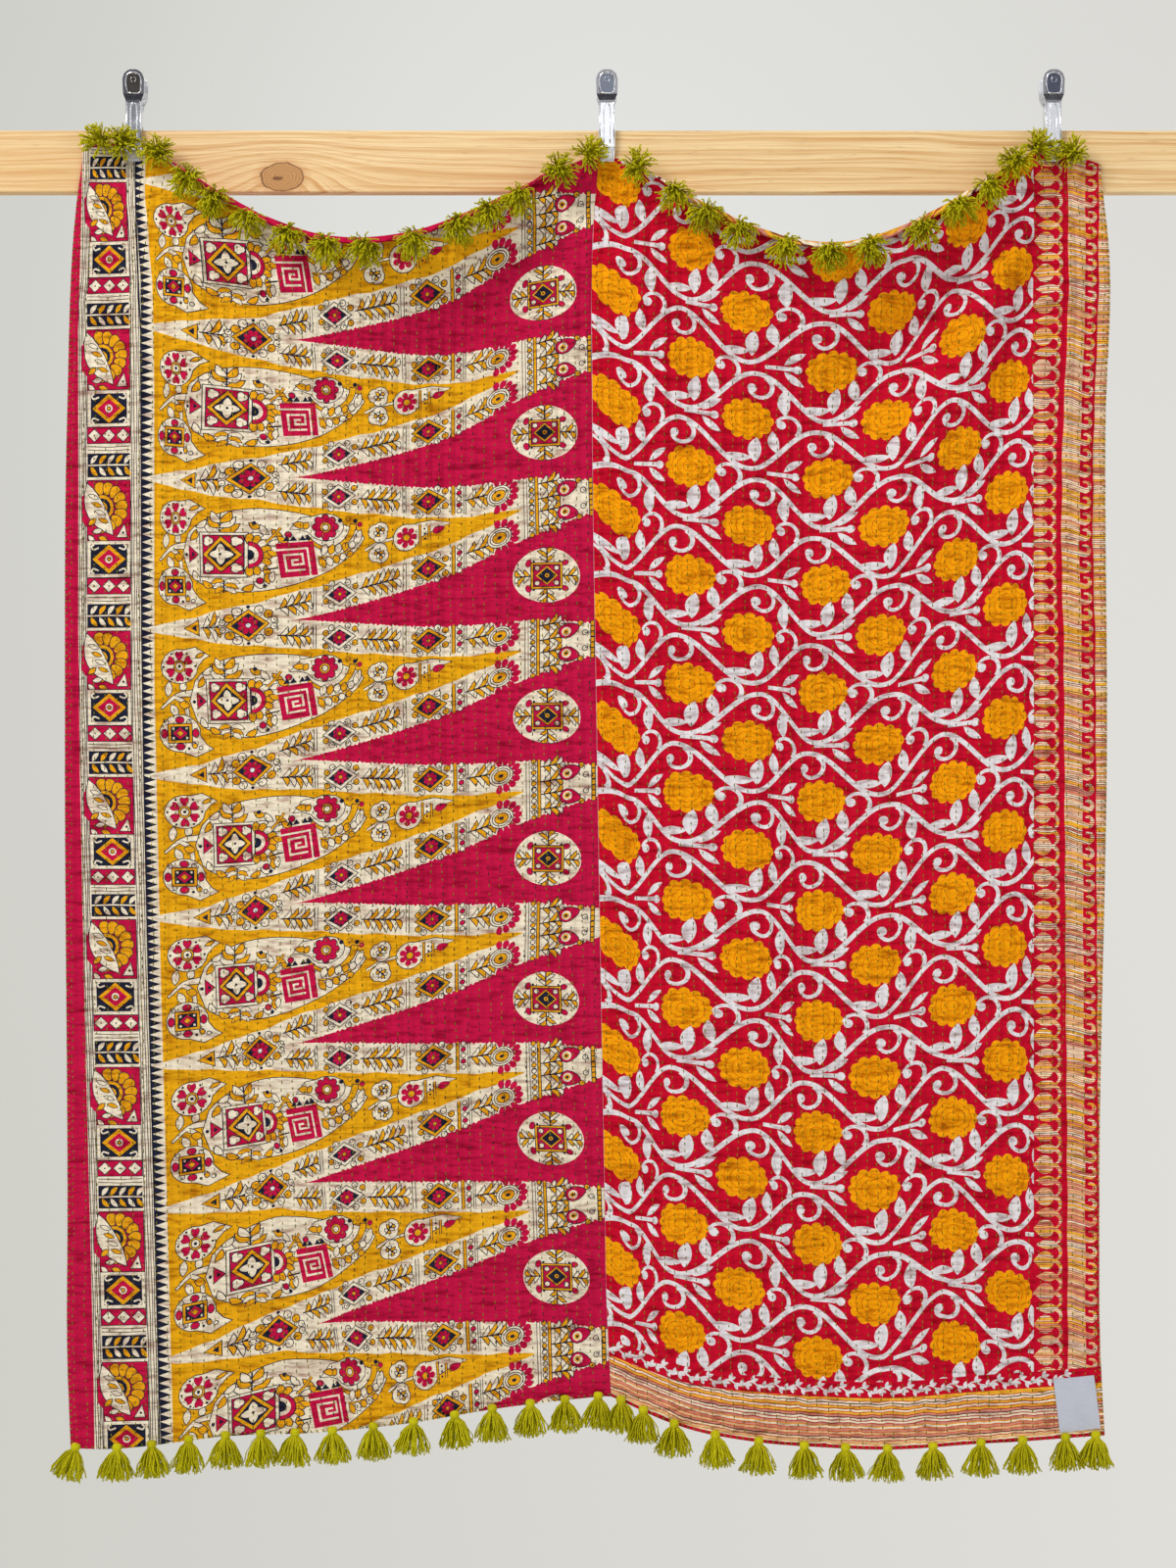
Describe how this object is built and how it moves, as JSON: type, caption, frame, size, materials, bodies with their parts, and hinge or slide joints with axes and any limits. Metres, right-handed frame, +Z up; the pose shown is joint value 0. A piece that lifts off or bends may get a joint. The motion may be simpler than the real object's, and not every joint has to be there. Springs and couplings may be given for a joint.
{
  "type": "kantha throw hung by spring clips from a rail",
  "caption": "Quilted cotton kantha throw of two printed panels with yarn tassels, hung by spring clips from a pine rail.",
  "frame": {"origin": "centre of the rail, half way along it and in the middle of its height and depth", "axes": "+X along the rail, to the right as the throw's face is seen; +Z up; the throw's face looks along -Y"},
  "size_m": [1.44, 0.1328, 1.6466],
  "materials": {
    "print_left": "printed and quilted cotton, matt",
    "print_right": "printed and quilted cotton, matt",
    "yarn": "cotton yarn, matt",
    "satin": "satin weave, soft sheen",
    "pine": "planed, unfinished",
    "chrome": "polished plate"
  },
  "bodies": {
    "root": {"panel_left": "print_left", "panel_right": "print_right", "rail": "pine", "label": "satin", "clip_left_front_lever": "chrome", "clip_left_rear_lever": "chrome", "clip_left_spring": "chrome", "clip_centre_front_lever": "chrome", "clip_centre_rear_lever": "chrome", "clip_centre_spring": "chrome", "clip_right_front_lever": "chrome", "clip_right_rear_lever": "chrome", "clip_right_spring": "chrome", "tassel_bottom_01": "yarn", "tassel_bottom_02": "yarn", "tassel_bottom_03": "yarn", "tassel_bottom_04": "yarn", "tassel_bottom_05": "yarn", "tassel_bottom_06": "yarn", "tassel_bottom_07": "yarn", "tassel_bottom_08": "yarn", "tassel_bottom_09": "yarn", "tassel_bottom_10": "yarn", "tassel_bottom_11": "yarn", "tassel_bottom_12": "yarn", "tassel_bottom_13": "yarn", "tassel_bottom_14": "yarn", "tassel_bottom_15": "yarn", "tassel_bottom_16": "yarn", "tassel_bottom_17": "yarn", "tassel_bottom_18": "yarn", "tassel_bottom_19": "yarn", "tassel_bottom_20": "yarn", "tassel_bottom_21": "yarn", "tassel_bottom_22": "yarn", "tassel_bottom_23": "yarn", "tassel_bottom_24": "yarn", "tassel_bottom_25": "yarn", "tassel_bottom_26": "yarn", "tassel_bottom_27": "yarn", "tassel_bottom_28": "yarn", "tassels_top_01": "yarn", "tassels_top_02": "yarn", "tassels_top_03": "yarn", "tassels_top_04": "yarn", "tassels_top_05": "yarn", "tassels_top_06": "yarn", "tassels_top_07": "yarn", "tassels_top_08": "yarn", "tassels_top_09": "yarn", "tassels_top_10": "yarn", "tassels_top_11": "yarn", "tassels_top_12": "yarn", "tassels_top_13": "yarn", "tassels_top_14": "yarn"}
  },
  "joints": []
}
